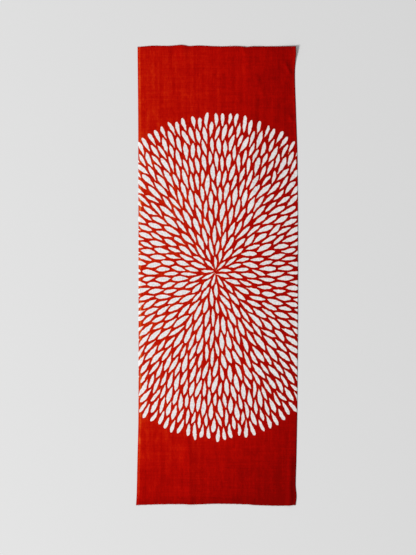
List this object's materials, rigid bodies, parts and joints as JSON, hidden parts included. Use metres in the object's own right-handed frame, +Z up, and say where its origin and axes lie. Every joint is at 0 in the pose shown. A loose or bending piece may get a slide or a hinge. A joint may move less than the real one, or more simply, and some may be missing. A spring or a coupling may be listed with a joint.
{
  "type": "tenugui towel",
  "caption": "Flat rectangular length of thin woven cotton with raw-cut ends, dyed red with a burst of white petals, used for drying, wrapping or display.",
  "frame": {"origin": "on the surface that the cloth lies on, under the middle of its bounding box", "axes": "+X across the cloth from the picture's left selvage to its right one, +Y along the cloth to the picture's upper end, +Z up from the surface"},
  "size_m": [0.3466, 0.9848, 0.008],
  "materials": {
    "dyed_cotton": "matte plain-woven cotton, resist-dyed through to the back"
  },
  "bodies": {
    "root": {"cloth": "dyed_cotton"}
  },
  "joints": []
}
